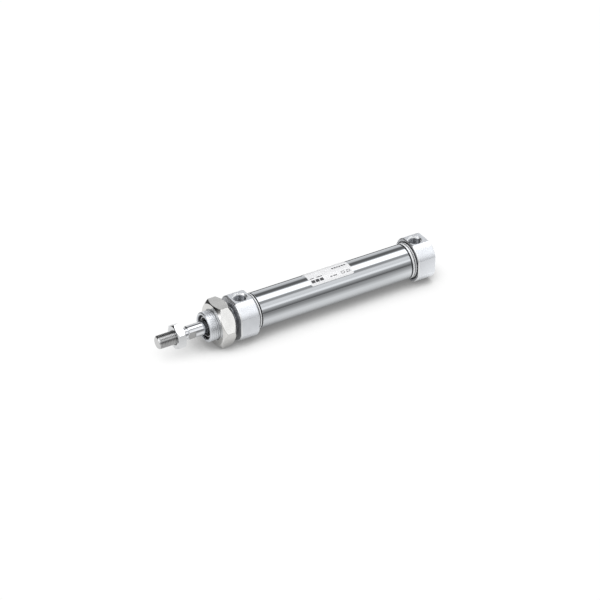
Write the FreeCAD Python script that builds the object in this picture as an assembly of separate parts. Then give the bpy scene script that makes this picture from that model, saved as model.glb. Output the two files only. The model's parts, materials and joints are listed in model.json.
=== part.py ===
import FreeCAD, Part
import math
import os

# Double-acting round-body pneumatic cylinder, bore 25, stroke 100. Millimetres.
# +X is the axis, the way the rod comes out, and +Z is up, where both ports open.
# The origin is on the axis, in the flat front face of the rod cover. The rod is drawn in.

# Barrel: two end covers and the tube that is rolled onto their spigots
BORE_R = 12.5
TUBE_R = 13.5
BODY_LENGTH = 164.0
COVER_LENGTH = 15.0
COVER_R = 16.75
COVER_FLAT = 15.5
COVER_CHAMFER = 0.6
SPIGOT_LENGTH = 8.5
ROD_COVER_BACK = -COVER_LENGTH
ROD_SPIGOT_END = ROD_COVER_BACK - SPIGOT_LENGTH
HEAD_COVER_FRONT = COVER_LENGTH - BODY_LENGTH
HEAD_SPIGOT_END = HEAD_COVER_FRONT + SPIGOT_LENGTH

# Rolled grooves in the tube's ends: distance from the cover, depth, half width
ROD_END_GROOVES = ((1.6, 0.3, 0.45), (3.3, 0.8, 0.7))
HEAD_END_GROOVES = ((1.5, 0.3, 0.45), (3.9, 0.8, 0.8))

# O-rings between the spigots and the tube
GASKET_SECTION_R = 0.8
GASKET_FROM_COVER = 6.7

# Ports, G1/8, drawn at the thread's inner radius
PORT_R = 4.283
PORT_MOUTH_R = 5.5
PORT_DEPTH = 7.2
PORT_FROM_FRONT = 7.5
PORT_FROM_REAR = 9.0
PASSAGE_R = 2.5

# Threaded nose, M22 x 1.5, drawn at the thread's outer radius
NOSE_R = 11.0
NOSE_LENGTH = 22.0
NOSE_CHAMFER = 0.5
SEAL_SEAT = 14.0
SEAL_SEAT_R = 9.0
SEAL_FRONT = 20.3

# Rod, 10 diameter, with an M10 x 1.25 end drawn at the thread's outer radius
ROD_R = 5.0
ROD_TIP = 59.0
ROD_TIP_CHAMFER = 0.9
ROD_SHOULDER = 36.0
ROD_SHOULDER_CHAMFER = 0.6
ROD_NECK_END = 38.5
ROD_NECK_R = 4.2
ROD_TAIL_R = 4.0
WRENCH_FLAT = 4.0
WRENCH_LENGTH = 5.5
WRENCH_TURN = -8.0
RUNNING_GAP = 0.03

# A groove a thread deep ends each nut's seat, so that the free thread is a wall of its own
SEAT_GROOVE_WIDTH = 0.75
SEAT_GROOVE_DEPTH = 0.8

# Bush in the rod cover, and the bore behind it that carries the air past the rod
BUSH_START = -1.0
BUSH_R = 7.5
ROD_COVER_BORE_R = 7.0
HEAD_COVER_BORE_R = 7.8
HEAD_COVER_BORE_END = -158.0

# Steel ring inside the rod seal
SEAL_RING_START = 16.3
SEAL_RING_INNER_R = 6.9
SEAL_RING_OUTER_R = 7.4

# Bumpers on the spigots' ends
BUMPER_THICKNESS = 1.0
BUMPER_OUTER_R = 11.3
BUMPER_LIP = 0.5

# Piston, in two halves that hold the magnet; every distance runs back from its front face
PISTON_LENGTH = 15.0
PISTON_R = 12.3
PISTON_SPLIT = PISTON_LENGTH / 2
PISTON_REAR = HEAD_SPIGOT_END + BUMPER_THICKNESS
PISTON_FRONT = PISTON_REAR + PISTON_LENGTH
SLIDING_R = 12.45
SEAL_GROOVE_R = 9.0
SEAL_GROOVE_FROM = 1.7
SEAL_GROOVE_WIDTH = 3.0
SEAL_GAP = 0.1
WEAR_GROOVE_R = 11.2
WEAR_GROOVE_WIDTH = 3.5
MAGNET_INNER_R = 7.0
MAGNET_OUTER_R = 10.0
MAGNET_WIDTH = 3.0
ROD_GASKET_FROM = 4.0
ROD_GASKET_SECTION_R = 0.6
PISTON_NUT_ACROSS = 13.0
PISTON_NUT_THICKNESS = 5.0
ROD_TAIL_PAST_NUT = 1.0

# Nuts: across flats, rear and front face, angle of one corner from +Y towards +Z
MOUNTING_NUT = (32.0, 3.4, 15.0, 2.9)
LOCK_NUT = (17.0, 40.0, 46.0, 32.0)
NUT_COUNTERSINK = 0.6

# Nuts' chamfers, rear then front: the face's radius as a share of the width across flats, slope in degrees
PLAIN_CHAMFERS = ((0.485, 30.0), (0.485, 30.0))
MOUNTING_NUT_CHAMFERS = ((0.469, 45.0), (0.485, 40.0))

# Label on the tube's top
LABEL_FRONT = -62.2
LABEL_REAR = -97.6
LABEL_THICKNESS = 0.1
LABEL_SPREAD = 78.0


def at(x, y=0.0, z=0.0):
    return FreeCAD.Vector(x, y, z)


AXIS = at(1)
UP = at(0, 0, 1)


def disc(start, end, radius):
    return Part.makeCylinder(radius, end - start, at(start), AXIS)


def ring(start, end, inner, outer):
    return disc(start, end, outer).cut(disc(start, end, inner))


def turned(outline):
    """The solid that an outline of (x, radius) points sweeps round the axis."""
    points = [at(x, 0, radius) for x, radius in outline]
    return Part.Face(Part.makePolygon(points + points[:1])).revolve(at(0), AXIS, 360)


def o_ring(x, outer, section):
    """An O-ring whose outside reaches the given radius."""
    return Part.makeTorus(outer - section, section, at(x), AXIS)


def o_ring_groove(x, outer, section):
    return ring(x - section - SEAL_GAP, x + section + SEAL_GAP, outer - 2 * section, outer)


def rolled_places():
    places = [(ROD_COVER_BACK - offset, depth, half) for offset, depth, half in ROD_END_GROOVES]
    places += [(HEAD_COVER_FRONT + offset, depth, half) for offset, depth, half in HEAD_END_GROOVES]
    return sorted(places)


def rolled_line(radius, start, end):
    """Points along a wall of this radius, dipping inwards at each rolled groove on the way."""
    line = [(start, radius)]
    for x, depth, half in rolled_places():
        if start < x < end:
            line.append((x - half, radius))
            line.append((x - half / 3, radius - depth))
            line.append((x + half / 3, radius - depth))
            line.append((x + half, radius))
    line.append((end, radius))
    return line


def cover_block(start, end):
    """A short round bar with four flats, its end edges chamfered."""
    side = 2 * COVER_FLAT
    flats = Part.makeBox(end - start, side, side, at(start, -COVER_FLAT, -COVER_FLAT))
    block = disc(start, end, COVER_R).common(flats)
    end_edges = [edge for edge in block.Edges if edge.BoundBox.XLength < 0.01]
    return block.makeChamfer(COVER_CHAMFER, end_edges)


def spigot(start, end):
    return turned(rolled_line(BORE_R, start, end) + [(end, 0), (start, 0)])


def cut_port(cover, x):
    """A port in the top flat: its thread, its chamfered mouth and the passage to the bore."""
    mouth = PORT_MOUTH_R - PORT_R
    floor = COVER_FLAT - PORT_DEPTH
    cover = cover.cut(Part.makeCylinder(PORT_R, PORT_DEPTH, at(x, 0, floor), UP))
    cover = cover.cut(Part.makeCone(PORT_R, PORT_MOUTH_R, mouth, at(x, 0, COVER_FLAT - mouth), UP))
    start = ROD_COVER_BORE_R - PASSAGE_R
    return cover.cut(Part.makeCylinder(PASSAGE_R, floor - start, at(x, 0, start), UP))


def nose():
    groove = MOUNTING_NUT[2]
    groove_r = NOSE_R - SEAT_GROOVE_DEPTH
    outline = [(0, 0), (0, NOSE_R), (groove, NOSE_R), (groove, groove_r)]
    outline += [(groove + SEAT_GROOVE_WIDTH, groove_r), (groove + SEAT_GROOVE_WIDTH, NOSE_R)]
    outline += [(NOSE_LENGTH - NOSE_CHAMFER, NOSE_R), (NOSE_LENGTH, NOSE_R - NOSE_CHAMFER)]
    outline += [(NOSE_LENGTH, 0)]
    return turned(outline)


def rod_cover():
    cover = cover_block(ROD_COVER_BACK, 0).fuse(spigot(ROD_SPIGOT_END, ROD_COVER_BACK)).fuse(nose())
    cover = cover.cut(disc(ROD_SPIGOT_END, BUSH_START, ROD_COVER_BORE_R))
    cover = cover.cut(disc(BUSH_START, SEAL_SEAT, BUSH_R))
    cover = cover.cut(disc(SEAL_SEAT, NOSE_LENGTH, SEAL_SEAT_R))
    gasket = ROD_COVER_BACK - GASKET_FROM_COVER
    cover = cover.cut(o_ring_groove(gasket, BORE_R, GASKET_SECTION_R))
    return cut_port(cover, -PORT_FROM_FRONT)


def head_cover():
    cover = cover_block(-BODY_LENGTH, HEAD_COVER_FRONT).fuse(spigot(HEAD_COVER_FRONT, HEAD_SPIGOT_END))
    cover = cover.cut(disc(HEAD_COVER_BORE_END, HEAD_SPIGOT_END, HEAD_COVER_BORE_R))
    gasket = HEAD_COVER_FRONT + GASKET_FROM_COVER
    cover = cover.cut(o_ring_groove(gasket, BORE_R, GASKET_SECTION_R))
    return cut_port(cover, PORT_FROM_REAR - BODY_LENGTH)


def cylinder_tube():
    outside = rolled_line(TUBE_R, HEAD_COVER_FRONT, ROD_COVER_BACK)
    inside = rolled_line(BORE_R, HEAD_COVER_FRONT, ROD_COVER_BACK)
    return turned(outside + inside[::-1])


def label():
    low, high = TUBE_R, TUBE_R + LABEL_THICKNESS
    corners = [at(LABEL_REAR, low), at(LABEL_FRONT, low), at(LABEL_FRONT, high), at(LABEL_REAR, high)]
    sheet = Part.Face(Part.makePolygon(corners + corners[:1])).revolve(at(0), AXIS, LABEL_SPREAD)
    sheet.rotate(at(0), AXIS, 90 - LABEL_SPREAD / 2)
    return sheet


def rod_bush():
    return ring(BUSH_START, SEAL_SEAT, ROD_R + RUNNING_GAP, BUSH_R)


def rod_seal():
    """One rubber ring with a sealing lip behind and a wiping lip in front."""
    lip = ROD_R + RUNNING_GAP
    outline = [(SEAL_SEAT, SEAL_SEAT_R), (SEAL_FRONT, SEAL_SEAT_R), (SEAL_FRONT, lip + 0.6)]
    outline += [(SEAL_FRONT - 0.7, lip), (SEAL_FRONT - 1.3, lip), (SEAL_FRONT - 2.1, lip + 0.5)]
    outline += [(SEAL_SEAT + 2.0, lip + 0.5), (SEAL_SEAT + 1.0, lip), (SEAL_SEAT + 0.5, lip)]
    outline += [(SEAL_SEAT, lip + 0.4)]
    return turned(outline).cut(seal_ring())


def seal_ring():
    return ring(SEAL_RING_START, SEAL_FRONT, SEAL_RING_INNER_R, SEAL_RING_OUTER_R)


def front_bumper():
    end = ROD_SPIGOT_END
    return ring(end - BUMPER_THICKNESS, end, ROD_COVER_BORE_R + BUMPER_LIP, BUMPER_OUTER_R)


def rear_bumper():
    return ring(HEAD_SPIGOT_END, PISTON_REAR, HEAD_COVER_BORE_R + BUMPER_LIP, BUMPER_OUTER_R)


def front_tube_gasket():
    return o_ring(ROD_COVER_BACK - GASKET_FROM_COVER, BORE_R, GASKET_SECTION_R)


def rear_tube_gasket():
    return o_ring(HEAD_COVER_FRONT + GASKET_FROM_COVER, BORE_R, GASKET_SECTION_R)


def piston_rod():
    tail = PISTON_REAR - PISTON_NUT_THICKNESS - ROD_TAIL_PAST_NUT
    groove = LOCK_NUT[2]
    groove_r = ROD_R - SEAT_GROOVE_DEPTH
    outline = [(tail, 0), (tail, ROD_TAIL_R), (PISTON_FRONT, ROD_TAIL_R), (PISTON_FRONT, ROD_R)]
    outline += [(ROD_SHOULDER - ROD_SHOULDER_CHAMFER, ROD_R), (ROD_SHOULDER, ROD_R - ROD_SHOULDER_CHAMFER)]
    outline += [(ROD_SHOULDER, ROD_NECK_R), (ROD_NECK_END, ROD_NECK_R)]
    outline += [(ROD_NECK_END, ROD_R), (groove, ROD_R), (groove, groove_r)]
    outline += [(groove + SEAT_GROOVE_WIDTH, groove_r), (groove + SEAT_GROOVE_WIDTH, ROD_R)]
    outline += [(ROD_TIP - ROD_TIP_CHAMFER, ROD_R), (ROD_TIP, ROD_R - ROD_TIP_CHAMFER), (ROD_TIP, 0)]
    rod = turned(outline)
    for turn in (WRENCH_TURN, WRENCH_TURN + 180):
        start = ROD_SHOULDER - WRENCH_LENGTH
        slab = Part.makeBox(WRENCH_LENGTH, ROD_R, 2 * ROD_R, at(start, WRENCH_FLAT, -ROD_R))
        slab.rotate(at(0), AXIS, turn)
        rod = rod.cut(slab)
    return rod


def behind(distance):
    """The place this far back from the piston's front face."""
    return PISTON_FRONT - distance


def centred_groove(width, inner, outer):
    """A ring-shaped space across the joint between the piston's halves."""
    middle = behind(PISTON_SPLIT)
    return ring(middle - width / 2, middle + width / 2, inner, outer)


def front_seal_span():
    return behind(SEAL_GROOVE_FROM + SEAL_GROOVE_WIDTH), behind(SEAL_GROOVE_FROM)


def rear_seal_span():
    start = PISTON_REAR + SEAL_GROOVE_FROM
    return start, start + SEAL_GROOVE_WIDTH


def piston_half(start, end):
    half = ring(start, end, ROD_TAIL_R, PISTON_R)
    half = half.cut(centred_groove(WEAR_GROOVE_WIDTH, WEAR_GROOVE_R, PISTON_R))
    half = half.cut(centred_groove(MAGNET_WIDTH, MAGNET_INNER_R, MAGNET_OUTER_R))
    for low, high in (front_seal_span(), rear_seal_span()):
        half = half.cut(ring(low, high, SEAL_GROOVE_R, PISTON_R))
    return half


def rod_gasket_place():
    """Where the O-ring round the rod's tail lies: place, outer radius, section radius."""
    return behind(ROD_GASKET_FROM), ROD_TAIL_R + 2 * ROD_GASKET_SECTION_R, ROD_GASKET_SECTION_R


def piston_front_half():
    half = piston_half(behind(PISTON_SPLIT), PISTON_FRONT)
    return half.cut(o_ring_groove(*rod_gasket_place()))


def piston_rear_half():
    return piston_half(PISTON_REAR, behind(PISTON_SPLIT))


def magnet_ring():
    return centred_groove(MAGNET_WIDTH, MAGNET_INNER_R, MAGNET_OUTER_R)


def wear_ring():
    return centred_groove(WEAR_GROOVE_WIDTH - 2 * SEAL_GAP, WEAR_GROOVE_R + SEAL_GAP, SLIDING_R)


def lip_seal(base, mouth):
    """A U-shaped seal, open towards its mouth, whose outer lip meets the bore."""
    inner = SEAL_GROOVE_R + SEAL_GAP
    notch = base + 0.45 * (mouth - base)
    middle = (inner + SLIDING_R) / 2
    outline = [(base, inner), (base, SLIDING_R - 0.4), (mouth, SLIDING_R), (mouth, SLIDING_R - 0.8)]
    outline += [(notch, middle), (mouth, inner + 0.8), (mouth, inner)]
    return turned(outline)


def front_piston_seal():
    low, high = front_seal_span()
    return lip_seal(low + SEAL_GAP, high - SEAL_GAP)


def rear_piston_seal():
    low, high = rear_seal_span()
    return lip_seal(high - SEAL_GAP, low + SEAL_GAP)


def rod_gasket():
    return o_ring(*rod_gasket_place())


def hex_nut(across, start, end, corner_angle, bore, chamfers=PLAIN_CHAMFERS):
    """A nut chamfered on both faces, with a smooth bore and countersunk mouths."""
    corner_r = across / math.sqrt(3)
    turns = [math.radians(corner_angle + 60 * k) for k in range(7)]
    corners = [at(start, corner_r * math.cos(turn), corner_r * math.sin(turn)) for turn in turns]
    prism = Part.Face(Part.makePolygon(corners)).extrude(at(end - start))
    rims = [share * across for share, _ in chamfers]
    drops = [(corner_r - rim) * math.tan(math.radians(slope)) for rim, (_, slope) in zip(rims, chamfers)]
    outline = [(start, 0), (start, rims[0]), (start + drops[0], corner_r)]
    outline += [(end - drops[1], corner_r), (end, rims[1]), (end, 0)]
    wide = bore + NUT_COUNTERSINK
    mouths = [(start, 0), (start, wide), (start + NUT_COUNTERSINK, bore), (end - NUT_COUNTERSINK, bore)]
    mouths += [(end, wide), (end, 0)]
    return prism.common(turned(outline)).cut(turned(mouths))


def mounting_nut():
    return hex_nut(*MOUNTING_NUT, NOSE_R + RUNNING_GAP, MOUNTING_NUT_CHAMFERS)


def rod_lock_nut():
    return hex_nut(*LOCK_NUT, ROD_R + RUNNING_GAP)


def piston_nut():
    end = PISTON_REAR
    return hex_nut(PISTON_NUT_ACROSS, end - PISTON_NUT_THICKNESS, end, 0.0, ROD_TAIL_R)


PIECES = (
    rod_cover, head_cover, cylinder_tube, label,
    rod_bush, rod_seal, seal_ring, front_bumper, rear_bumper, front_tube_gasket, rear_tube_gasket,
    piston_rod, piston_front_half, piston_rear_half, magnet_ring, rod_gasket, piston_nut,
    front_piston_seal, rear_piston_seal, wear_ring,
    mounting_nut, rod_lock_nut,
)

os.makedirs("parts", exist_ok=True)
for piece in PIECES:
    solids = piece().removeSplitter().Solids
    assert len(solids) == 1 and solids[0].isValid(), piece.__name__
    solids[0].exportStep(f"parts/{piece.__name__}.step")
    print(piece.__name__, round(solids[0].Volume, 1))
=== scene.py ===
import json
import math

import bmesh
import bpy
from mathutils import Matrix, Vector


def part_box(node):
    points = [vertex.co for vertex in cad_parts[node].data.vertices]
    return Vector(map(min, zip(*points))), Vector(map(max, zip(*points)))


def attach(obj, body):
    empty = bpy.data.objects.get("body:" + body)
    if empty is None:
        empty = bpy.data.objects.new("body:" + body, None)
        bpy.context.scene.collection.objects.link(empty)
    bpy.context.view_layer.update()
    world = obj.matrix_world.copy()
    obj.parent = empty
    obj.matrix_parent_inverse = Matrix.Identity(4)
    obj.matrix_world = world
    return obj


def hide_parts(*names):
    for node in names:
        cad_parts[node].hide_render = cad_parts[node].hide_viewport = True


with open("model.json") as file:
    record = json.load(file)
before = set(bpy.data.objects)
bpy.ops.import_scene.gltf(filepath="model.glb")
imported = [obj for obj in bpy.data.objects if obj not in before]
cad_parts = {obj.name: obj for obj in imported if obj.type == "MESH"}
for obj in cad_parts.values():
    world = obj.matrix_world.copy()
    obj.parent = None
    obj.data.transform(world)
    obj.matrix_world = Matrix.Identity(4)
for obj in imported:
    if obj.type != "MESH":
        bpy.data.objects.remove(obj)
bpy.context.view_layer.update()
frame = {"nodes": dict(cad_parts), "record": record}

# A round-body pneumatic cylinder. Metres, +X along the rod, +Z up, where the ports open.
# Angles round the axis run from +Y towards +Z.
MM = 0.001
MOUNTS = {mount["name"]: mount for mount in frame["record"]["mounts"]}
BODY_OF = {node: body for body, nodes in frame["record"]["behaviour"]["bodies"].items() for node in nodes}

# Edges sharper than this stay sharp, and how many angles go round each shape
SHARP = math.radians(28)
NUT_SHARP = math.radians(20)
COVER_ANGLES = 144
PORT_ANGLES = 96
TUBE_ANGLES = 160
ROD_ANGLES = 96
NUT_ANGLES = 144
COVER_CORNER_WIDTH = 0.01
CORNER_WIDTH = 0.02

# Covers
COVER_R = 16.75 * MM
COVER_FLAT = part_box("head_cover")[1].z
COVER_CHAMFER = 0.75 * MM
COVER_LENGTH = 15.0 * MM
TUBE_BORE_R = 12.5 * MM
SPIGOT_R = TUBE_BORE_R - 0.05 * MM
NOSE_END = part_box("rod_cover")[1].x
ROD_COVER_BACK = -COVER_LENGTH
ROD_SPIGOT_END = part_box("rod_cover")[0].x
HEAD_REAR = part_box("head_cover")[0].x
HEAD_FRONT = HEAD_REAR + COVER_LENGTH
HEAD_SPIGOT_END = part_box("head_cover")[1].x
ROD_BORE_R = 7.0 * MM
HEAD_BORE_R = 7.8 * MM
HEAD_BORE_END = -158.0 * MM
BUSH_R = 7.5 * MM
BUSH_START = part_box("rod_bush")[0].x
SEAL_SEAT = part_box("rod_seal")[0].x
SEAL_SEAT_R = 9.0 * MM
MOUTH_R = SEAL_SEAT_R + 0.35 * MM
MOUTH_DEPTH = 0.45 * MM
MOUTH_EDGE = 0.1 * MM

# Threads: outer radius, depth, pitch. They are shallower than real ones, and rounded
NOSE_THREAD = (MOUNTS["nose_thread"]["dims"]["r_mm"] * MM, 0.25 * MM, 1.5 * MM)
ROD_THREAD = (MOUNTS["rod_thread"]["dims"]["r_mm"] * MM, 0.45 * MM, 1.25 * MM)
PORT_THREAD = (4.685 * MM, 0.40 * MM, 0.907 * MM)
STEPS_PER_PITCH = 16

# Where the nose's thread runs, how gently it begins and ends, and the undercut behind it
NOSE_THREAD_SPAN = (1.0 * MM, NOSE_END - 0.7 * MM)
NOSE_THREAD_RUNOUT = (1.5 * MM, 1.2 * MM)
UNDERCUT_R = NOSE_THREAD[0] - 0.9 * MM
UNDERCUT_WIDTH = 0.6 * MM
# How far from the cover's face the nose is painted with shade, over the undercut and the thread's start
PAINTED_SHADE_UNTIL = 1.6 * MM
NOSE_EDGE = ((0.12 * MM, 0.45 * MM), (0.0, 0.6 * MM))

# Ports
PORT_FLOOR = COVER_FLAT - 7.2 * MM
PORT_MOUTH_R = 5.5 * MM
PORT_MOUTH_DEPTH = PORT_MOUTH_R - PORT_THREAD[0] + PORT_THREAD[1]
PASSAGE_R = 2.5 * MM

# Tube. Each rolled groove has its distance from the cover, depth and half width
TUBE_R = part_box("cylinder_tube")[1].z
TUBE_WALL = TUBE_R - TUBE_BORE_R
TUBE_EDGE_R = 0.25 * MM
ROLLED_LENGTH = 6 * MM
ROLLED_STEPS = 60
ROD_END_GROOVES = ((1.6 * MM, 0.3 * MM, 0.45 * MM), (3.3 * MM, 0.8 * MM, 0.7 * MM))
HEAD_END_GROOVES = ((1.5 * MM, 0.3 * MM, 0.45 * MM), (3.9 * MM, 0.8 * MM, 0.8 * MM))
# Where a rolled groove is deeper than this, its faces are painted with shade
PAINTED_SHADE_FROM_DEPTH = 0.12 * MM

# Shallow relief in each cover round the tube's end
RELIEF_R = TUBE_R + 1.1 * MM
RELIEF_DEPTH = 0.4 * MM
RELIEF_FLARE = 0.1 * MM

# Rod
ROD_R = ROD_THREAD[0]
ROD_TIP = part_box("piston_rod")[1].x
ROD_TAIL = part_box("piston_rod")[0].x
ROD_TAIL_R = 4.0 * MM
PISTON_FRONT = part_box("piston_front_half")[1].x
ROD_SHOULDER = 36.0 * MM
ROD_SHOULDER_CHAMFER = 0.6 * MM
ROD_NECK_END = 38.5 * MM
ROD_NECK_R = 4.2 * MM
ROD_NECK_TAPER = (0.05 * MM, 0.2 * MM)
ROD_CUT_START = ROD_NECK_END - 0.4 * MM
ROD_TIP_CHAMFER = 0.9 * MM
ROD_TAIL_CHAMFER = 0.4 * MM
ROD_THREAD_SPAN = (ROD_NECK_END, ROD_TIP - 0.3 * MM)
ROD_THREAD_RUNOUT = (0.3 * MM, 0.2 * MM)
ROD_THREAD_START_SLOPE = 1.6
WRENCH_START = 30.5 * MM
WRENCH_FLAT = 4.0 * MM
WRENCH_STEP = 0.15 * MM
WRENCH_TURN = math.radians(-8.0)

# Nuts: across flats, angle of one corner, bore, rounding of the corners
MOUNTING_NUT = (32.0 * MM, math.radians(2.9), 11.03 * MM, 0.35 * MM)
LOCK_NUT = (17.0 * MM, math.radians(32.0), 5.03 * MM, 0.25 * MM)
NUT_COUNTERSINK = 0.75 * MM

# Nuts' chamfers, rear then front: the face's radius as a share of the width across flats, slope
PLAIN_CHAMFERS = ((0.485, math.radians(30)), (0.485, math.radians(30)))
MOUNTING_NUT_CHAMFERS = ((0.469, math.radians(45)), (0.485, math.radians(40)))

# Label
LABEL_SPREAD = math.radians(78.0)
LABEL_TOP = math.radians(90.0)
LABEL_CORNER = 1.0 * MM
PRINT_HEIGHT = 0.012 * MM
PRINT_SUNK = 0.005 * MM


# Angles and profiles ---------------------------------------------------------------------------------

def even_angles(count):
    return [math.tau * k / count for k in range(count)]


def angles_with_corners(count, corners, width):
    """Even angles, with extra ones close round each corner."""
    angles = set(round(angle, 6) for angle in even_angles(count))
    for corner in corners:
        for share in (-1.0, -0.6, -0.3, 0.0, 0.3, 0.6, 1.0):
            angles.add(round((corner + share * width) % math.tau, 6))
    return sorted(angles)


def from_nearest(angle, first, sides):
    """The signed angle from the nearest of several evenly spaced directions."""
    step = math.tau / sides
    return (angle - first + step / 2) % step - step / 2


def polygon_radius(angle, apothem, first_corner, sides, rounding):
    """The radius of a regular polygon with rounded corners."""
    half = math.pi / sides
    off = abs(from_nearest(angle, first_corner, sides))
    centre = (apothem - rounding) / math.cos(half)
    tangent = math.atan2(rounding * math.sin(half), centre + rounding * math.cos(half))
    if off < tangent:
        return centre * math.cos(off) + math.sqrt(rounding ** 2 - (centre * math.sin(off)) ** 2)
    return apothem / math.cos(half - off)


def cover_radius(angle):
    return min(COVER_R, COVER_FLAT / math.cos(from_nearest(angle, 0.0, 4)))


def thread_dip(thread, x, angle):
    """How far a rounded right-handed thread lies below its crest here: from 0 to its depth."""
    _, depth, pitch = thread
    phase = x / pitch - angle / math.tau
    return depth * (0.5 - 0.5 * math.cos(math.tau * phase))


def threaded_run(thread, angle, start, end, runout):
    """Points along a thread, which rises out of and fades into a plain shaft over the runout lengths."""
    radius, _, pitch = thread
    count = max(2, round(abs(end - start) / pitch * STEPS_PER_PITCH))
    points = []
    for k in range(count + 1):
        x = start + (end - start) * k / count
        fade = min(1.0, abs(x - start) / runout[0], abs(end - x) / runout[1])
        points.append((x, radius - fade * thread_dip(thread, x, angle)))
    return points


def rolled_dip(x):
    """How deep the tube's rolled grooves are at x."""
    to_rod_cover, to_head_cover = ROD_COVER_BACK - x, x - HEAD_FRONT
    distance, grooves = to_rod_cover, ROD_END_GROOVES
    if to_head_cover < to_rod_cover:
        distance, grooves = to_head_cover, HEAD_END_GROOVES
    dip = 0.0
    for offset, depth, half in grooves:
        near = abs(distance - offset) / half
        if near < 1:
            dip = depth * (0.5 + 0.5 * math.cos(math.pi * near))
    return dip


# Meshes ----------------------------------------------------------------------------------------------

def finish_mesh(mesh_maker, name, sharp):
    """Makes the object, welded, facing outwards, smooth except at edges sharper than this angle."""
    bmesh.ops.remove_doubles(mesh_maker, verts=mesh_maker.verts, dist=1e-7)
    bmesh.ops.recalc_face_normals(mesh_maker, faces=mesh_maker.faces)
    for face in mesh_maker.faces:
        face.smooth = True
    for edge in mesh_maker.edges:
        edge.smooth = not (edge.is_manifold and edge.calc_face_angle() > sharp)
    mesh = bpy.data.meshes.new(name)
    mesh_maker.to_mesh(mesh)
    mesh_maker.free()
    piece = bpy.data.objects.new(name, mesh)
    bpy.context.scene.collection.objects.link(piece)
    return piece


def lathe(name, section, angles, closed, origin=(0, 0, 0), upright=False, sharp=SHARP):
    """A closed mesh from the section at each angle round X, or round Z if it is upright.

    section(angle) gives (along, radius) points: a closed loop, or a run whose two ends lie on the axis.
    """
    origin = Vector(origin)
    maker = bmesh.new()
    rings = []
    for angle in angles:
        across, side = math.cos(angle), math.sin(angle)
        ring = []
        for along, radius in section(angle):
            if upright:
                place = Vector((radius * across, radius * side, along))
            else:
                place = Vector((along, radius * across, radius * side))
            ring.append(maker.verts.new(origin + place))
        rings.append(ring)
    count = len(rings[0])
    for ring, following in zip(rings, rings[1:] + rings[:1]):
        for k in range(count if closed else count - 1):
            after = (k + 1) % count
            maker.faces.new((ring[k], following[k], following[after], ring[after]))
    return finish_mesh(maker, name, sharp)


def cut(piece, cutter):
    """Takes the cutter out of the piece, and removes the cutter."""
    modifier = piece.modifiers.new("cut", "BOOLEAN")
    modifier.object = cutter
    modifier.operation = "DIFFERENCE"
    modifier.solver = "EXACT"
    graph = bpy.context.evaluated_depsgraph_get()
    mesh = bpy.data.meshes.new_from_object(piece.evaluated_get(graph))
    piece.modifiers.clear()
    bpy.data.objects.remove(cutter)
    maker = bmesh.new()
    maker.from_mesh(mesh)
    bmesh.ops.remove_doubles(maker, verts=maker.verts, dist=1e-6)
    bmesh.ops.dissolve_degenerate(maker, edges=maker.edges, dist=1e-7)
    for edge in maker.edges:
        edge.smooth = not (edge.is_manifold and edge.calc_face_angle() > SHARP)
    maker.to_mesh(mesh)
    maker.free()
    piece.data = mesh
    return piece


def stand_for(piece, node, material):
    """The piece takes the place of a CAD node: its body and a material of its own."""
    piece.data.materials.clear()
    piece.data.materials.append(material)
    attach(piece, BODY_OF[node])
    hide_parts(node)
    return piece


# Pieces ----------------------------------------------------------------------------------------------

COVER_CORNER = math.acos(COVER_FLAT / COVER_R)
COVER_CORNERS = [quarter * math.pi / 2 + side * COVER_CORNER for quarter in range(4) for side in (-1, 1)]


def cover_outside(angle, back, front):
    """The outside of a cover's block, from its rear face to its front face."""
    radius = cover_radius(angle)
    inset = radius - COVER_CHAMFER
    return [(back, inset), (back + COVER_CHAMFER, radius), (front - COVER_CHAMFER, radius), (front, inset)]


def spigot_root(face, inwards):
    """From the spigot over the relief round the tube's end, out to the cover's face."""
    floor = face + inwards * RELIEF_DEPTH
    return [(floor, SPIGOT_R), (floor, RELIEF_R), (face, RELIEF_R + RELIEF_FLARE)]


def port_cutter(x, bore):
    """The space of one port: passage, threaded hole and chamfered mouth."""
    root = PORT_THREAD[0]
    crest = root - PORT_THREAD[1]
    mouth = COVER_FLAT - PORT_MOUTH_DEPTH
    above = COVER_FLAT + 1 * MM

    def section(angle):
        count = round((mouth - PORT_FLOOR) / PORT_THREAD[2] * STEPS_PER_PITCH)
        points = [(bore - PASSAGE_R, 0), (bore - PASSAGE_R, PASSAGE_R), (PORT_FLOOR, PASSAGE_R)]
        for k in range(count + 1):
            z = PORT_FLOOR + (mouth - PORT_FLOOR) * k / count
            fade = min(1.0, (z - PORT_FLOOR) / PORT_THREAD[2])
            points.append((z, crest + fade * (PORT_THREAD[1] - thread_dip(PORT_THREAD, z, angle))))
        widest = PORT_MOUTH_R + (above - COVER_FLAT)
        return points + [(COVER_FLAT, PORT_MOUTH_R), (above, widest), (above, 0)]

    angles = even_angles(PORT_ANGLES)
    return lathe("port_cutter", section, angles, closed=False, origin=(x, 0, 0), upright=True)


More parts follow.
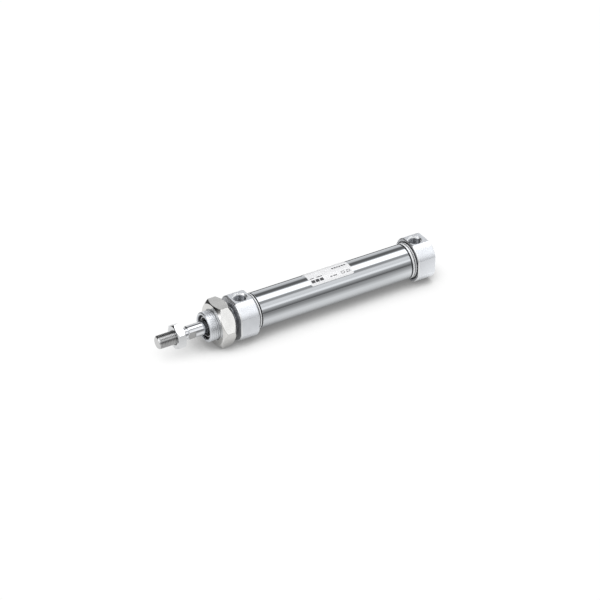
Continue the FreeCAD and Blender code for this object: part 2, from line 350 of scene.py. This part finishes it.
def rod_cover():
    def section(angle):
        points = [(ROD_SPIGOT_END, ROD_BORE_R), (ROD_SPIGOT_END, SPIGOT_R)]
        points += spigot_root(ROD_COVER_BACK, 1) + cover_outside(angle, ROD_COVER_BACK, 0.0)
        points += [(0.0, UNDERCUT_R), (UNDERCUT_WIDTH, UNDERCUT_R)]
        points += threaded_run(NOSE_THREAD, angle, *NOSE_THREAD_SPAN, NOSE_THREAD_RUNOUT)
        points += [(NOSE_END - back, NOSE_THREAD[0] - inwards) for back, inwards in NOSE_EDGE]
        points += [(NOSE_END, MOUTH_R + MOUTH_EDGE), (NOSE_END - MOUTH_EDGE, MOUTH_R)]
        points += [(NOSE_END - MOUTH_DEPTH, SEAL_SEAT_R), (SEAL_SEAT, SEAL_SEAT_R)]
        return points + [(SEAL_SEAT, BUSH_R), (BUSH_START, BUSH_R), (BUSH_START, ROD_BORE_R)]

    angles = angles_with_corners(COVER_ANGLES, COVER_CORNERS, COVER_CORNER_WIDTH)
    cover = lathe("rod_cover_body", section, angles, closed=True)
    port = MOUNTS["rod_port"]["pos_m"][0]
    return cut(cover, port_cutter(port, ROD_BORE_R))


def head_cover():
    def section(angle):
        points = [(HEAD_BORE_END, 0), (HEAD_BORE_END, HEAD_BORE_R), (HEAD_SPIGOT_END, HEAD_BORE_R)]
        points += [(HEAD_SPIGOT_END, SPIGOT_R)] + spigot_root(HEAD_FRONT, -1)
        points += cover_outside(angle, HEAD_REAR, HEAD_FRONT)[::-1]
        return points + [(HEAD_REAR, 0)]

    angles = angles_with_corners(COVER_ANGLES, COVER_CORNERS, COVER_CORNER_WIDTH)
    cover = lathe("head_cover_body", section, angles, closed=False)
    port = MOUNTS["head_port"]["pos_m"][0]
    return cut(cover, port_cutter(port, HEAD_BORE_R))


def tube():
    """The tube, with its ends rolled into the covers' grooves and its edges turned in against them."""
    places = [HEAD_FRONT]
    for low in (HEAD_FRONT, ROD_COVER_BACK - ROLLED_LENGTH):
        places += [low + ROLLED_LENGTH * k / ROLLED_STEPS for k in range(ROLLED_STEPS + 1)]
    places = sorted(set(round(x, 8) for x in places))

    def section(angle):
        outside = []
        for x in places:
            to_end = min(x - HEAD_FRONT, ROD_COVER_BACK - x)
            into_edge = max(0.0, TUBE_EDGE_R - to_end)
            turned_in = TUBE_EDGE_R - math.sqrt(max(0.0, TUBE_EDGE_R ** 2 - into_edge ** 2))
            outside.append((x, TUBE_R - rolled_dip(x) - turned_in))
        inside = [(x, TUBE_R - TUBE_WALL - rolled_dip(x)) for x in reversed(places)]
        return outside + inside

    return lathe("tube_shell", section, even_angles(TUBE_ANGLES), closed=True)


def rod():
    def section(angle):
        off = abs(from_nearest(angle, WRENCH_TURN, 2))
        flat = min(ROD_R, WRENCH_FLAT / max(math.cos(off), 0.1))
        points = [(ROD_TAIL, 0), (ROD_TAIL, ROD_TAIL_R - ROD_TAIL_CHAMFER)]
        points += [(ROD_TAIL + ROD_TAIL_CHAMFER, ROD_TAIL_R)]
        points += [(PISTON_FRONT, ROD_TAIL_R), (PISTON_FRONT, ROD_R), (WRENCH_START, ROD_R)]
        points += [(WRENCH_START + WRENCH_STEP, flat), (ROD_SHOULDER - ROD_SHOULDER_CHAMFER, flat)]
        points += [(ROD_SHOULDER, min(flat, ROD_R - ROD_SHOULDER_CHAMFER))]
        points += [(ROD_SHOULDER + ROD_NECK_TAPER[0], min(flat, ROD_NECK_R))]
        points += [(ROD_SHOULDER + ROD_NECK_TAPER[1], ROD_NECK_R), (ROD_CUT_START, ROD_NECK_R)]
        for x, radius in threaded_run(ROD_THREAD, angle, *ROD_THREAD_SPAN, ROD_THREAD_RUNOUT):
            limit = ROD_R - max(0.0, ROD_TIP_CHAMFER - (ROD_TIP - x))
            start_limit = ROD_NECK_R + (x - ROD_NECK_END) * ROD_THREAD_START_SLOPE
            points.append((x, min(radius, limit, start_limit)))
        return points + [(ROD_TIP, ROD_R - ROD_TIP_CHAMFER), (ROD_TIP, 0)]

    corner = math.acos(WRENCH_FLAT / ROD_R)
    corners = [WRENCH_TURN + half * math.pi + side * corner for half in (0, 1) for side in (-1, 1)]
    angles = angles_with_corners(ROD_ANGLES, corners, CORNER_WIDTH)
    return lathe("rod_shaft", section, angles, closed=False)


def mark_faces(piece, material, chosen):
    """Gives the piece's chosen faces a material of their own."""
    piece.data.materials.append(material)
    for face in piece.data.polygons:
        if chosen(face):
            face.material_index = len(piece.data.materials) - 1


def rod_tip(face):
    return face.center.x > ROD_TIP - ROD_TIP_CHAMFER and abs(face.normal.x) > 0.5


def unplated(face):
    """The rod's thread and wrench flats."""
    facing = Vector((0, math.cos(WRENCH_TURN), math.sin(WRENCH_TURN)))
    on_flat = face.center.x > WRENCH_START and abs(face.normal.dot(facing)) > 0.9999
    return on_flat or face.center.x > ROD_CUT_START


def in_port(face, radius, bottom, top):
    """Whether the face is nearer than this to one of the ports' axes, and between two depths."""
    ports = [MOUNTS[name]["pos_m"][0] for name in ("rod_port", "head_port")]
    near = min(math.hypot(face.center.x - port, face.center.y) for port in ports) < radius
    return near and bottom < COVER_FLAT - face.center.z < top


def turned(face):
    """A cover's flat ends, outside the nose's radius, darkened as painted shade for the gap and the contact
    shadow.
    """
    across = math.hypot(face.center.y, face.center.z)
    return abs(face.normal.x) > 0.99 and NOSE_THREAD[0] < across < COVER_R - COVER_CHAMFER


def chamfered(face):
    """The chamfers round a cover's front and round its port's mouth, made lighter as a painted highlight."""
    across = math.hypot(face.center.y, face.center.z)
    on_front_edge = 0.6 < face.normal.x < 0.8 and NOSE_THREAD[0] + 1 * MM < across
    return on_front_edge or in_port(face, PORT_MOUTH_R, 0.01 * MM, PORT_MOUTH_DEPTH)


def painted_shade_recess(face):
    """The inside of a port, and the rod cover's undercut with the start of its thread, which are painted with
    shade.
    """
    undercut = 0 < face.center.x < PAINTED_SHADE_UNTIL and math.hypot(face.center.y, face.center.z) > SEAL_SEAT_R
    return undercut or in_port(face, PORT_THREAD[0] + 0.1 * MM, PORT_MOUTH_DEPTH, COVER_FLAT)


def painted_shade_relief(face):
    """The relief in a cover round the tube's end, painted near black as the shade of the gap."""
    to_cover = min(abs(face.center.x - ROD_COVER_BACK), abs(face.center.x - HEAD_FRONT))
    across = math.hypot(face.center.y, face.center.z)
    return to_cover < RELIEF_DEPTH + 0.01 * MM and TUBE_BORE_R < across < RELIEF_R + 0.07 * MM


# Faces deep in a rolled groove, which are painted with shade
def in_painted_shade_groove(face):
    return rolled_dip(face.center.x) > PAINTED_SHADE_FROM_DEPTH


def on_rolled_end(face):
    """The tube from its edge to about the deep groove, without the grooves themselves."""
    to_end = min(face.center.x - HEAD_FRONT, ROD_COVER_BACK - face.center.x)
    return to_end < HEAD_END_GROOVES[1][0] and not in_painted_shade_groove(face)


def nut(name, node, shape, chamfers):
    """A hexagon nut, chamfered on both faces, with softened edges and countersunk mouths."""
    across, first_corner, bore, rounding = shape
    start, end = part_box(node)[0].x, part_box(node)[1].x
    soft = 0.08 * MM
    wide = bore + NUT_COUNTERSINK

    def chamfered_edge(face, inwards, radius, share, slope):
        """From the flat of the nut over its chamfer to one face."""
        rim = share * across
        steep = math.tan(slope)
        drop = (radius - rim) * steep
        edge = [(drop + soft, radius), (drop - soft * steep, radius - soft)]
        edge += [(soft * steep, rim), (0, rim - soft), (0, wide), (NUT_COUNTERSINK, bore)]
        return [(face + inwards * depth, r) for depth, r in edge]

    def section(angle):
        radius = polygon_radius(angle, across / 2, first_corner, 6, rounding)
        rear = chamfered_edge(start, 1, radius, *chamfers[0])
        front = chamfered_edge(end, -1, radius, *chamfers[1])
        return rear[::-1] + front

    corners = [first_corner + k * math.pi / 3 for k in range(6)]
    angles = angles_with_corners(NUT_ANGLES, corners, CORNER_WIDTH)
    return lathe(name, section, angles, closed=True, sharp=NUT_SHARP)


def curved_patch(maker, x_range, turn_range, radii, corner=0.0):
    """A thin closed sheet bent round the axis, with rounded corners, added to a mesh."""
    x_low, x_high = x_range
    turn_low, turn_high = turn_range
    mean = (radii[0] + radii[1]) / 2
    columns = max(2, round((turn_high - turn_low) / math.radians(2)))
    lower, upper = [], []
    for k in range(columns + 1):
        turn = turn_low + (turn_high - turn_low) * k / columns
        to_side = min(turn - turn_low, turn_high - turn) * mean
        inset = 0.0
        if to_side < corner:
            inset = corner - math.sqrt(corner ** 2 - (corner - to_side) ** 2)
        for rows, radius in ((lower, radii[0]), (upper, radii[1])):
            y, z = radius * math.cos(turn), radius * math.sin(turn)
            rows.append([maker.verts.new((x_low + inset, y, z)), maker.verts.new((x_high - inset, y, z))])
    for k in range(columns):
        a, b = lower[k], lower[k + 1]
        c, d = upper[k], upper[k + 1]
        maker.faces.new((a[0], a[1], b[1], b[0]))
        maker.faces.new((c[0], d[0], d[1], c[1]))
        maker.faces.new((a[0], b[0], d[0], c[0]))
        maker.faces.new((a[1], c[1], d[1], b[1]))
    for k in (0, columns):
        maker.faces.new((lower[k][0], upper[k][0], upper[k][1], lower[k][1]))


LABEL_X = (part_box("label")[0].x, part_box("label")[1].x)
LABEL_R = (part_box("cylinder_tube")[1].z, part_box("label")[1].z)


def label():
    maker = bmesh.new()
    turns = (LABEL_TOP - LABEL_SPREAD / 2, LABEL_TOP + LABEL_SPREAD / 2)
    curved_patch(maker, LABEL_X, turns, LABEL_R, LABEL_CORNER)
    return finish_mesh(maker, "label_film", SHARP)


def print_marks():
    """Generic printing: plain bars and small frames, no letters."""
    front = LABEL_X[1]
    bars = [
        # distance from the label's front edge and length, then the turn's start and width in degrees
        (1.2, 2.9, 60.5, 10.0), (4.7, 2.9, 60.5, 10.0), (8.2, 2.9, 60.5, 10.0),
        (1.4, 3.2, 76.0, 3.0), (6.8, 4.6, 76.0, 3.0),
        (16.6, 1.8, 62.5, 3.2), (19.2, 3.0, 62.5, 3.2),
    ]
    bars += [(21.6 + 2.0 * k, 1.5, 90.0, 5.6) for k in range(6)]
    frames = ((26.0, 3.0, 61.5, 8.6), (30.4, 3.0, 61.5, 8.6))
    maker = bmesh.new()
    low = LABEL_R[1] - PRINT_SUNK
    high = LABEL_R[1] + PRINT_HEIGHT

    def mark(offset, length, turn, width):
        x_high = front - offset * MM
        turns = (math.radians(turn), math.radians(turn + width))
        curved_patch(maker, (x_high - length * MM, x_high), turns, (low, high))

    for bar in bars:
        mark(*bar)
    line, line_turn = 0.4, 1.7
    for offset, length, turn, width in frames:
        mark(offset, length, turn, line_turn)
        mark(offset, length, turn + width - line_turn, line_turn)
        mark(offset, line, turn + line_turn, width - 2 * line_turn)
        mark(offset + length - line, line, turn + line_turn, width - 2 * line_turn)
    return finish_mesh(maker, "label_print", SHARP)


# Materials -------------------------------------------------------------------------------------------

class Surface:
    """A principled material and the few nodes that it is built from."""

    def __init__(self, name, color, metallic, roughness, **sockets):
        self.material = bpy.data.materials.new(name)
        self.material.use_nodes = True
        self.tree = self.material.node_tree
        self.shader = self.tree.nodes["Principled BSDF"]
        self.shader.inputs["Base Color"].default_value = (*color, 1)
        self.shader.inputs["Metallic"].default_value = metallic
        self.shader.inputs["Roughness"].default_value = roughness
        for socket, value in sockets.items():
            self.shader.inputs[socket.replace("_", " ")].default_value = value
        self.color = color
        self.roughness = roughness
        self.place = self.tree.nodes.new("ShaderNodeTexCoord").outputs["Object"]

    def link(self, source, target):
        self.tree.links.new(source, target)

    def noise(self, scale, detail=3.0, stretch=(1, 1, 1)):
        """Noise over the object's own coordinates, finer along an axis with a larger stretch."""
        mapping = self.tree.nodes.new("ShaderNodeMapping")
        mapping.inputs["Scale"].default_value = stretch
        self.link(self.place, mapping.inputs["Vector"])
        texture = self.tree.nodes.new("ShaderNodeTexNoise")
        texture.inputs["Scale"].default_value = scale
        texture.inputs["Detail"].default_value = detail
        self.link(mapping.outputs["Vector"], texture.inputs["Vector"])
        return texture.outputs["Fac"]

    def turning(self, scale):
        """Fine rings, as a lathe leaves on faces and shafts: noise along the axis and the radius only."""
        split = self.tree.nodes.new("ShaderNodeSeparateXYZ")
        self.link(self.place, split.inputs["Vector"])
        radial = self.tree.nodes.new("ShaderNodeVectorMath")
        radial.operation = "LENGTH"
        flat = self.tree.nodes.new("ShaderNodeCombineXYZ")
        self.link(split.outputs["Y"], flat.inputs["X"])
        self.link(split.outputs["Z"], flat.inputs["Y"])
        self.link(flat.outputs["Vector"], radial.inputs[0])
        both = self.tree.nodes.new("ShaderNodeCombineXYZ")
        self.link(split.outputs["X"], both.inputs["X"])
        self.link(radial.outputs["Value"], both.inputs["Y"])
        texture = self.tree.nodes.new("ShaderNodeTexNoise")
        texture.inputs["Scale"].default_value = scale
        texture.inputs["Detail"].default_value = 2.0
        self.link(both.outputs["Vector"], texture.inputs["Vector"])
        return texture.outputs["Fac"]

    def spread(self, value, low, high):
        """The value, near the middle of its range, mapped to run from low to high."""
        node = self.tree.nodes.new("ShaderNodeMapRange")
        node.inputs["From Min"].default_value = 0.3
        node.inputs["From Max"].default_value = 0.7
        node.inputs["To Min"].default_value = low
        node.inputs["To Max"].default_value = high
        self.link(value, node.inputs["Value"])
        return node.outputs["Result"]

    def shade(self, value, amount):
        """Varies the colour's brightness a little with the value."""
        mix = self.tree.nodes.new("ShaderNodeMix")
        mix.data_type = "RGBA"
        mix.inputs["A"].default_value = (*[c * (1 - amount) for c in self.color], 1)
        mix.inputs["B"].default_value = (*[min(1.0, c * (1 + amount)) for c in self.color], 1)
        self.link(self.spread(value, 0.0, 1.0), mix.inputs["Factor"])
        self.link(mix.outputs["Result"], self.shader.inputs["Base Color"])

    def roughen(self, value, amount):
        rough = self.spread(value, self.roughness - amount, self.roughness + amount)
        self.link(rough, self.shader.inputs["Roughness"])

    def bump(self, value, height):
        node = self.tree.nodes.new("ShaderNodeBump")
        node.inputs["Distance"].default_value = height
        self.link(value, node.inputs["Height"])
        self.link(node.outputs["Normal"], self.shader.inputs["Normal"])


def anodised_aluminium():
    surface = Surface("anodised_aluminium", (0.80, 0.82, 0.85), 1.0, 0.45)
    grain = surface.noise(5200, 4.0)
    surface.shade(surface.noise(90, 5.0), 0.05)
    surface.roughen(grain, 0.03)
    surface.bump(grain, 0.0012 * MM)
    return surface.material


def polished_stainless():
    surface = Surface("polished_stainless", (0.625, 0.645, 0.665), 1.0, 0.07)
    lines = surface.noise(900, 3.0, stretch=(0.05, 1.0, 1.0))
    surface.shade(surface.noise(60, 4.0, stretch=(0.3, 1.0, 1.0)), 0.03)
    surface.roughen(lines, 0.02)
    surface.bump(lines, 0.001 * MM)
    return surface.material


def hard_chrome():
    surface = Surface("hard_chrome", (0.80, 0.81, 0.83), 1.0, 0.05)
    rings = surface.turning(5000)
    surface.shade(surface.noise(120, 3.0), 0.03)
    surface.roughen(rings, 0.02)
    surface.bump(rings, 0.0008 * MM)
    return surface.material


def cut_steel():
    """The rod's thread and wrench flats, cut through the chrome."""
    surface = Surface("cut_steel", (0.41, 0.41, 0.41), 1.0, 0.11)
    surface.shade(surface.noise(400, 4.0), 0.08)
    rings = surface.turning(4000)
    surface.roughen(rings, 0.04)
    surface.bump(rings, 0.003 * MM)
    return surface.material


def bright_nickel():
    surface = Surface("bright_nickel", (0.79, 0.785, 0.77), 1.0, 0.17)
    surface.shade(surface.noise(160, 5.0), 0.06)
    rings = surface.turning(3500)
    surface.roughen(surface.noise(1200, 4.0), 0.06)
    surface.bump(rings, 0.004 * MM)
    return surface.material


def bright_zinc():
    surface = Surface("bright_zinc", (0.80, 0.81, 0.82), 1.0, 0.22)
    surface.shade(surface.noise(220, 5.0), 0.05)
    surface.roughen(surface.noise(1500, 4.0), 0.07)
    surface.bump(surface.turning(3000), 0.008 * MM)
    return surface.material


def plain_metal(name, color, roughness, metallic=1.0):
    surface = Surface(name, color, metallic, roughness)
    rings = surface.turning(3000)
    surface.shade(surface.noise(150, 4.0), 0.06)
    surface.roughen(rings, 0.05)
    surface.bump(rings, 0.003 * MM)
    return surface.material


def moulded(name, color, roughness, grain_scale=4000, **sockets):
    """Rubber or plastic with a fine moulded grain."""
    surface = Surface(name, color, 0.0, roughness, **sockets)
    grain = surface.noise(grain_scale, 3.0)
    surface.shade(surface.noise(300, 4.0), 0.15)
    surface.roughen(grain, 0.08)
    surface.bump(grain, 0.01 * MM)
    return surface.material


def rolled_end():
    """The matt edge that the rolling left on the tube."""
    surface = Surface("rolled_end", (0.93, 0.94, 0.95), 0.25, 0.45)
    surface.shade(surface.noise(300, 4.0), 0.05)
    surface.roughen(surface.turning(3000), 0.05)
    return surface.material


def label_film():
    surface = Surface("label_film", (0.895, 0.895, 0.90), 0.0, 0.38, Coat_Weight=0.3)
    fibre = surface.noise(2600, 4.0)
    surface.shade(surface.noise(200, 3.0), 0.015)
    surface.roughen(fibre, 0.03)
    surface.bump(fibre, 0.0001 * MM)
    return surface.material


def printing_ink():
    surface = Surface("printing_ink", (0.03, 0.03, 0.035), 0.0, 0.45)
    speckle = surface.noise(3000, 4.0)
    surface.shade(speckle, 0.4)
    surface.roughen(speckle, 0.08)
    return surface.material


# Studio ----------------------------------------------------------------------------------------------

CAMERA_AZIMUTH = math.radians(149.1)
CAMERA_ELEVATION = math.radians(33.5)
CAMERA_DISTANCE = 1574 * MM
CAMERA_TARGET = Vector((-57.0, 0, -3.8)) * MM
CAMERA_ROLL = math.radians(-0.1)
CAMERA_LENS = 131.3
FLOOR_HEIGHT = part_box("mounting_nut")[0].z
FLOOR_SIDE = 6.0
FLOOR_BRIGHTNESS = 1.02


def camera():
    data = bpy.data.cameras.new("camera")
    data.lens = CAMERA_LENS
    data.sensor_width = 36.0
    holder = bpy.data.objects.new("camera", data)
    bpy.context.scene.collection.objects.link(holder)
    flat = math.cos(CAMERA_ELEVATION)
    along, aside = math.sin(CAMERA_AZIMUTH) * flat, -math.cos(CAMERA_AZIMUTH) * flat
    back = Vector((along, aside, math.sin(CAMERA_ELEVATION)))
    holder.location = CAMERA_TARGET + back * CAMERA_DISTANCE
    turn = (-back).to_track_quat("-Z", "Y").to_euler()
    holder.rotation_euler = turn
    holder.rotation_euler.rotate_axis("Z", CAMERA_ROLL)
    data.clip_start, data.clip_end = 0.05, 40
    bpy.context.scene.camera = holder


# The shadow under the object: share of a hemisphere, tilted to the lamp, that the floor sees, brightness
SHADOW_STOPS = (
    (0, 0.10), (0.3, 0.22), (0.45, 0.27), (0.6, 0.456), (0.725, 0.75), (0.8, 0.9), (0.876, 0.98), (1, 1.0),
)
SHADOW_REACH = 50 * MM
SHADOW_LAMP = Vector((0.3, 0.42, 0.9)).normalized()

# How much of the shadow is left, by x and by y in metres: it fades past both ends and on the far side
SHADOW_ALONG = (
    (-0.20, 0), (-0.185, 0), (-0.164, 1), (0.01, 1), (0.026, 0.9), (0.033, 0.67), (0.045, 0.5), (0.10, 0.4),
)
SHADOW_ACROSS = ((-0.05, 0), (-0.034, 0), (-0.012, 1), (0.05, 1))

# What the metal reflects of the floor: metres from the axis towards +Y, brightness
POOL_STOPS = (
    (-0.20, 0.05), (-0.15, 0.05), (-0.10, 0.6), (-0.06, 1.0), (-0.03, 0.95), (0.0, 0.95), (0.028, 0.95),
    (0.033, 0.85), (0.040, 0.74), (0.050, 0.65), (0.067, 0.49), (0.097, 0.42), (0.20, 0.30),
)

# and how much brighter it is by x
POOL_ALONG = ((-0.25, 1.2), (-0.165, 1.2), (-0.135, 1.0), (0.0, 1.0), (0.02, 0.88), (0.1, 0.88))

# The studio round the object, by the angle round its axis from +Y towards +Z: degrees, brightness
STUDIO_STOPS = (
    (-180, 0.90), (-150, 0.6), (0, 0.16), (12, 0.35), (24, 0.60), (34, 1.25), (42, 0.95), (56, 1.0),
    (68, 0.42), (78, 0.60), (84, 1.9), (104, 1.9), (116, 0.45), (130, 0.16), (140, 0.22), (152, 0.75),
    (180, 0.90),
)

# How the studio fades along the object's axis: the direction's share along +X, factor
FADE_STOPS = (
    (-1, 0.3), (-0.8, 1.1), (-0.62, 1.7), (-0.5, 1.0), (-0.36, 1.0), (-0.28, 2.0), (-0.15, 2.0), (-0.05, 0.6),
    (0.1, 0.5), (0.4, 0.7), (0.6, 1.0), (0.8, 1.3), (1, 1.3),
)

# A black card low behind the object's front end: for each axis, where it begins and where it is whole
CARD = ((0.1, 0.35), (0.1, -0.4), (0.75, 0.45))


def node_math(tree, operation, *values):
    """A Math node on these numbers or sockets."""
    node = tree.nodes.new("ShaderNodeMath")
    node.operation = operation
    for socket, value in zip(node.inputs, values):
        if isinstance(value, (int, float)):
            socket.default_value = value
        else:
            tree.links.new(value, socket)
    return node.outputs["Value"]


def graph_of(tree, value, stops, straight=False):
    """A smooth or a straight-lined graph through (place, height) stops, read at the value."""
    low, high = stops[0][0], stops[-1][0]
    tallest = max(height for _, height in stops)
    share = tree.nodes.new("ShaderNodeMapRange")
    share.inputs["From Min"].default_value = low
    share.inputs["From Max"].default_value = high
    tree.links.new(value, share.inputs["Value"])
    curve = tree.nodes.new("ShaderNodeFloatCurve")
    tree.links.new(share.outputs["Result"], curve.inputs["Value"])
    line = curve.mapping.curves[0]
    points = [((place - low) / (high - low), height / tallest) for place, height in stops]
    line.points[0].location = points[0]
    line.points[1].location = points[-1]
    for point in points[1:-1]:
        line.points.new(*point)
    if straight:
        for point in line.points:
            point.handle_type = "VECTOR"
    curve.mapping.update()
    return node_math(tree, "MULTIPLY", curve.outputs["Value"], tallest)


def card_shade(tree, sides):
    """What the black card leaves of the studio's light, from the direction's three parts."""
    cover = 1.0
    for side, (begins, whole) in zip(sides, CARD):
        step = tree.nodes.new("ShaderNodeMapRange")
        step.interpolation_type = "SMOOTHSTEP"
        step.inputs["From Min"].default_value = begins
        step.inputs["From Max"].default_value = whole
        tree.links.new(side, step.inputs["Value"])
        cover = node_math(tree, "MULTIPLY", step.outputs["Result"], cover)
    return node_math(tree, "SUBTRACT", 1.0, cover)


def seen_or_reflected(tree, seen, reflected, output, socket):
    """One shader for what the camera sees itself, and another for what the object gets."""
    mix = tree.nodes.new("ShaderNodeMixShader")
    tree.links.new(tree.nodes.new("ShaderNodeLightPath").outputs["Is Camera Ray"], mix.inputs["Fac"])
    tree.links.new(reflected, mix.inputs[1])
    tree.links.new(seen, mix.inputs[2])
    tree.links.new(mix.outputs["Shader"], output.inputs[socket])


def floor_material():
    """White with a soft shadow for the camera; in reflections it darkens away from the object."""
    material = bpy.data.materials.new("white_floor")
    material.use_nodes = True
    material.cycles.emission_sampling = "NONE"
    tree = material.node_tree
    tree.nodes.clear()
    shelter = tree.nodes.new("ShaderNodeAmbientOcclusion")
    shelter.samples = 12
    shelter.inputs["Distance"].default_value = SHADOW_REACH
    direction = tree.nodes.new("ShaderNodeCombineXYZ")
    for socket, value in zip(direction.inputs, SHADOW_LAMP):
        socket.default_value = value
    tree.links.new(direction.outputs["Vector"], shelter.inputs["Normal"])
    split = tree.nodes.new("ShaderNodeSeparateXYZ")
    tree.links.new(tree.nodes.new("ShaderNodeTexCoord").outputs["Object"], split.inputs["Vector"])
    along, across = split.outputs["X"], split.outputs["Y"]
    kept_along = graph_of(tree, along, SHADOW_ALONG, straight=True)
    kept_across = graph_of(tree, across, SHADOW_ACROSS, straight=True)
    kept = node_math(tree, "MULTIPLY", kept_along, kept_across)
    depth = node_math(tree, "SUBTRACT", 1.0, graph_of(tree, shelter.outputs["AO"], SHADOW_STOPS))
    shadow = node_math(tree, "SUBTRACT", 1.0, node_math(tree, "MULTIPLY", depth, kept))
    pool_along = graph_of(tree, along, POOL_ALONG, straight=True)
    pool = node_math(tree, "MULTIPLY", graph_of(tree, across, POOL_STOPS), pool_along)
    seen = tree.nodes.new("ShaderNodeEmission")
    tree.links.new(node_math(tree, "MULTIPLY", shadow, FLOOR_BRIGHTNESS), seen.inputs["Strength"])
    reflected = tree.nodes.new("ShaderNodeEmission")
    tree.links.new(node_math(tree, "MULTIPLY", pool, shadow), reflected.inputs["Strength"])
    output = tree.nodes.new("ShaderNodeOutputMaterial")
    seen_or_reflected(tree, seen.outputs["Emission"], reflected.outputs["Emission"], output, "Surface")
    return material


def floor():
    maker = bmesh.new()
    half = FLOOR_SIDE / 2
    corners = [(-half, -half), (half, -half), (half, half), (-half, half)]
    maker.faces.new([maker.verts.new((x, y, FLOOR_HEIGHT)) for x, y in corners])
    mesh = bpy.data.meshes.new("floor")
    maker.to_mesh(mesh)
    maker.free()
    plane = bpy.data.objects.new("floor", mesh)
    bpy.context.scene.collection.objects.link(plane)
    plane.data.materials.append(floor_material())


def studio():
    """A sky of softboxes and dark cards that run along the object, and plain white for the camera."""
    world = bpy.data.worlds.new("studio")
    bpy.context.scene.world = world
    world.use_nodes = True
    tree = world.node_tree
    tree.nodes.clear()
    split = tree.nodes.new("ShaderNodeSeparateXYZ")
    tree.links.new(tree.nodes.new("ShaderNodeTexCoord").outputs["Generated"], split.inputs["Vector"])
    turn = node_math(tree, "ARCTAN2", split.outputs["Z"], split.outputs["Y"])
    bands = graph_of(tree, node_math(tree, "DEGREES", turn), STUDIO_STOPS)
    fade = graph_of(tree, split.outputs["X"], FADE_STOPS)
    banded = tree.nodes.new("ShaderNodeBackground")
    banded.inputs["Color"].default_value = (0.985, 0.99, 1.0, 1)
    light = node_math(tree, "MULTIPLY", bands, fade)
    shade = card_shade(tree, (split.outputs["X"], split.outputs["Y"], split.outputs["Z"]))
    tree.links.new(node_math(tree, "MULTIPLY", light, shade), banded.inputs["Strength"])
    plain = tree.nodes.new("ShaderNodeBackground")
    plain.inputs["Color"].default_value = (1, 1, 1, 1)
    output = tree.nodes.new("ShaderNodeOutputWorld")
    seen_or_reflected(tree, plain.outputs["Background"], banded.outputs["Background"], output, "Surface")


# Assembly --------------------------------------------------------------------------------------------

def dress_inner_pieces():
    """Gives the CAD pieces that stay their materials."""
    rubber = moulded("seal_rubber", (0.004, 0.004, 0.005), 0.42, Specular_IOR_Level=0.12)
    looks = {
        "rod_bush": plain_metal("sintered_bronze", (0.55, 0.38, 0.20), 0.5),
        "rod_seal": rubber,
        "seal_ring": plain_metal("seal_ring_steel", (0.60, 0.60, 0.61), 0.28),
        "front_bumper": moulded("bumper_rubber", (0.05, 0.05, 0.055), 0.6),
        "front_tube_gasket": rubber,
        "piston_front_half": plain_metal("turned_aluminium", (0.62, 0.63, 0.65), 0.3),
        "magnet_ring": moulded("ferrite", (0.06, 0.06, 0.065), 0.55, 2500),
        "piston_nut": plain_metal("plain_steel", (0.36, 0.36, 0.37), 0.35),
        "wear_ring": moulded("wear_ring_plastic", (0.72, 0.69, 0.60), 0.5),
    }
    looks["rear_bumper"] = looks["front_bumper"]
    looks["rear_tube_gasket"] = rubber
    looks["piston_rear_half"] = looks["piston_front_half"]
    for node in ("rod_gasket", "front_piston_seal", "rear_piston_seal"):
        looks[node] = rubber
    for node, material in looks.items():
        mesh_object = frame["nodes"][node]
        for place in mesh_object.material_slots:
            place.material = material


aluminium = anodised_aluminium()
# Turned cover ends: the half-metallic finish is real, their darker colour is painted shade for the gap and
# the contact shadow
turned_aluminium = plain_metal("turned_aluminium_end_painted_shade", (0.46, 0.47, 0.49), 0.35, metallic=0.5)
# Cut chamfers, lighter than the anodised block: a painted highlight along the edges and in the port's mouth
painted_highlight_edge = plain_metal("chamfered_aluminium_painted_highlight", (0.90, 0.91, 0.92), 0.4)
# Dark metal as painted shade inside the ports and in the nose's undercut
painted_shade_metal = plain_metal("painted_shade_metal", (0.27, 0.28, 0.30), 0.3)
# Near-black metal as painted shade in the tube's rolled grooves and the covers' relief round the tube
painted_shade_groove = plain_metal("rolled_groove_painted_shade", (0.10, 0.105, 0.11), 0.3)
for cover, node in ((rod_cover(), "rod_cover"), (head_cover(), "head_cover")):
    stand_for(cover, node, aluminium)
    mark_faces(cover, turned_aluminium, turned)
    mark_faces(cover, painted_highlight_edge, chamfered)
    mark_faces(cover, painted_shade_metal, painted_shade_recess)
    mark_faces(cover, painted_shade_groove, painted_shade_relief)
barrel_tube = stand_for(tube(), "cylinder_tube", polished_stainless())
mark_faces(barrel_tube, painted_shade_groove, in_painted_shade_groove)
mark_faces(barrel_tube, rolled_end(), on_rolled_end)
shaft = stand_for(rod(), "piston_rod", hard_chrome())
mark_faces(shaft, cut_steel(), unplated)
mark_faces(shaft, plain_metal("turned_steel", (0.70, 0.70, 0.70), 0.25), rod_tip)
mounting_nut = nut("mounting_nut_body", "mounting_nut", MOUNTING_NUT, MOUNTING_NUT_CHAMFERS)
stand_for(mounting_nut, "mounting_nut", bright_nickel())
stand_for(nut("lock_nut_body", "rod_lock_nut", LOCK_NUT, PLAIN_CHAMFERS), "rod_lock_nut", bright_zinc())
stand_for(label(), "label", label_film())
marks = print_marks()
marks.data.materials.append(printing_ink())
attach(marks, "barrel")
dress_inner_pieces()

floor()
studio()
camera()
bpy.context.scene.view_settings.view_transform = "Standard"
